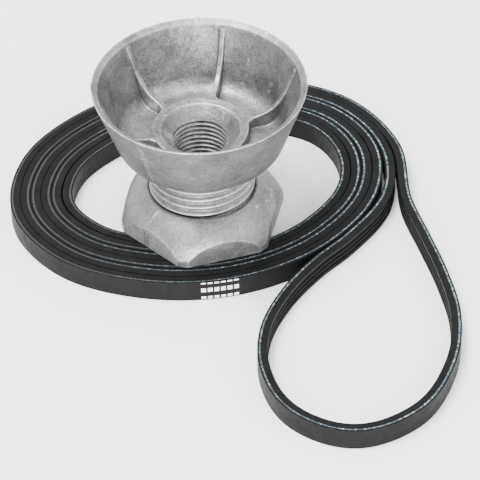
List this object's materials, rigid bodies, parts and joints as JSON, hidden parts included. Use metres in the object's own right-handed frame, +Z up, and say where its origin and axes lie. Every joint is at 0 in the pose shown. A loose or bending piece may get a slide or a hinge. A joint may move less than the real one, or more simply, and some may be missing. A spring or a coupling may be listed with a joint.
{
  "type": "drive hub with coiled multi-rib belt",
  "caption": "Cast bell-shaped drive hub with a threaded neck, conical hexagonal lock nut and a coiled multi-rib drive belt.",
  "frame": {"origin": "middle of the whole layout seen from above, on the surface the belt lies on", "axes": "+Z up along the hub's axis, +Y from the belt's free loop towards its coil"},
  "size_m": [0.1219, 0.1456, 0.0526],
  "materials": {
    "cast_aluminium": "satin, as cast and tumbled",
    "nut_aluminium": "satin, as cast",
    "cover_rubber": "smooth satin",
    "cord_fibre": "cut ends of wound cord",
    "cushion_rubber": "matte",
    "rib_rubber": "matte, ground"
  },
  "bodies": {
    "belt": {"belt_rib_rubber": "rib_rubber", "belt_back_cover": "cover_rubber", "belt_tension_cords": "cord_fibre", "belt_cushion": "cushion_rubber"},
    "hub": {"hub_casting": "cast_aluminium"},
    "nut": {"lock_nut": "nut_aluminium"}
  },
  "joints": [
    {"name": "hub_lift", "type": "slide", "parent": "belt", "child": "hub", "axis": [0, 0, 1], "range_m": [0, 0.04]},
    {"name": "nut_travel", "type": "slide", "parent": "hub", "child": "nut", "axis": [0, 0, 1], "range_m": [0, 0.01]}
  ]
}
